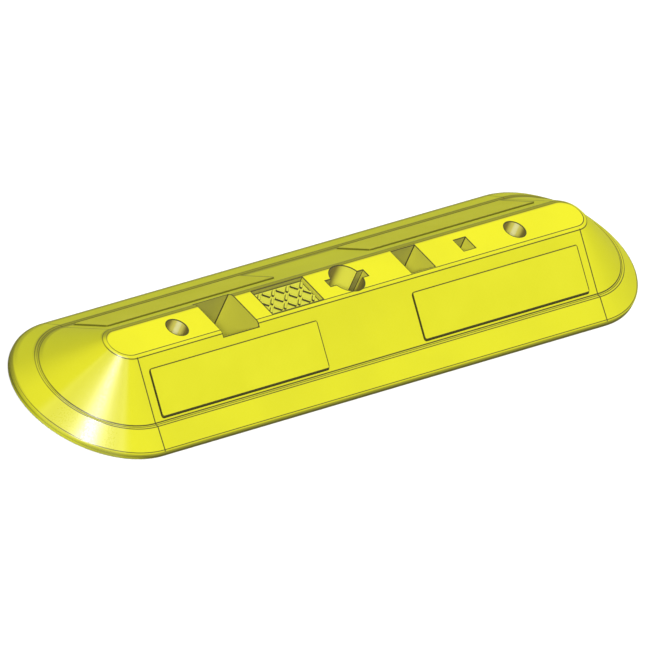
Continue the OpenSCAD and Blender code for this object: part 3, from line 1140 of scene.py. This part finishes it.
def make_camera():
    """A camera at the photograph's angle, with a lens so long that it shows hardly any perspective."""
    data = bpy.data.cameras.new("camera")
    data.lens = LENS_MM
    data.sensor_width = SENSOR_MM
    camera = bpy.data.objects.new("camera", data)
    bpy.context.scene.collection.objects.link(camera)
    turn = math.radians(AZIMUTH)
    rise = math.radians(ELEVATION)
    back = Vector((math.sin(turn) * math.cos(rise), -math.cos(turn) * math.cos(rise), math.sin(rise)))
    level = back.to_track_quat("Z", "Y").to_matrix()
    facing = level @ Matrix.Rotation(math.radians(ROLL), 3, "Z")
    distance = VIEW_WIDTH * LENS_MM / SENSOR_MM
    place = facing @ Vector((AIM_RIGHT, AIM_UP, distance))
    camera.matrix_world = Matrix.Translation(place) @ facing.to_4x4()
    data.clip_start = distance * CLIP_NEAR
    data.clip_end = distance * CLIP_FAR
    bpy.context.scene.camera = camera


def make_sun(name, towards, strength, spread):
    """A soft distant lamp that shines from the given direction."""
    data = bpy.data.lights.new(name, "SUN")
    data.energy = strength
    data.angle = math.radians(spread)
    lamp = bpy.data.objects.new(name, data)
    lamp.rotation_mode = "QUATERNION"
    lamp.rotation_quaternion = Vector(towards).to_track_quat("Z", "Y")
    bpy.context.scene.collection.objects.link(lamp)


def seen(tree):
    """1 for what the camera sees, also in a reflection or through glass, and 0 for other light."""
    path = tree.nodes.new("ShaderNodeLightPath").outputs
    most = path["Is Camera Ray"]
    for name in ("Is Glossy Ray", "Is Transmission Ray"):
        either = tree.nodes.new("ShaderNodeMath")
        either.operation = "MAXIMUM"
        tree.links.new(most, either.inputs[0])
        tree.links.new(path[name], either.inputs[1])
        most = either.outputs[0]
    return most


def make_world():
    """Even faint light from all round, which looks plain white behind the object."""
    world = bpy.data.worlds.new("studio")
    bpy.context.scene.world = world
    world.use_nodes = True
    tree = world.node_tree
    background = tree.nodes["Background"]
    background.inputs["Color"].default_value = (1, 1, 1, 1)
    strength = tree.nodes.new("ShaderNodeMapRange")
    strength.inputs["To Min"].default_value = WORLD_LIGHT
    strength.inputs["To Max"].default_value = 1.0
    tree.links.new(seen(tree), strength.inputs["Value"])
    tree.links.new(strength.outputs["Result"], background.inputs["Strength"])


def make_floor():
    """A plain white floor that keeps the object's shadow and throws little light back on it."""
    half = FLOOR_SIZE / 2
    plan = ((-half, -half), (half, -half), (half, half), (-half, half))
    mesh = bpy.data.meshes.new("floor")
    mesh.from_pydata(at_height(plan, -FLOOR_GAP), [], [(0, 1, 2, 3)])
    floor = bpy.data.objects.new("floor", mesh)
    bpy.context.scene.collection.objects.link(floor)
    material = bpy.data.materials.new("floor")
    material.use_nodes = True
    tree = material.node_tree
    surface = tree.nodes["Principled BSDF"]
    surface.inputs["Roughness"].default_value = FLOOR_ROUGHNESS
    surface.inputs["Specular IOR Level"].default_value = 0.0
    color = tree.nodes.new("ShaderNodeMix")
    color.data_type = "RGBA"
    color.inputs["A"].default_value = (FLOOR_UNSEEN, FLOOR_UNSEEN, FLOOR_UNSEEN, 1)
    color.inputs["B"].default_value = (FLOOR_SEEN, FLOOR_SEEN, FLOOR_SEEN, 1)
    tree.links.new(seen(tree), color.inputs["Factor"])
    tree.links.new(color.outputs["Result"], surface.inputs["Base Color"])
    mesh.materials.append(material)


dress(make_body(), body_rubber(), "body_rubber")
dress(make_insert(), insert_rubber(), "insert_rubber")
sheet_finish = reflective_sheet()
for side_x in (-1, 1):
    for side_y in (-1, 1):
        dress(make_sheet(side_x, side_y), sheet_finish, "reflector_sheet")
zinc = zinc_plate()
for name in ("anchor_bush_left", "anchor_bush_right", "lock_plate", "lock_plate_screws"):
    dress(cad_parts[name], zinc)

make_camera()
for name, (towards, strength, spread) in SUNS.items():
    make_sun(name, towards, strength, spread)
make_world()
make_floor()
bpy.context.scene.view_settings.view_transform = "Standard"
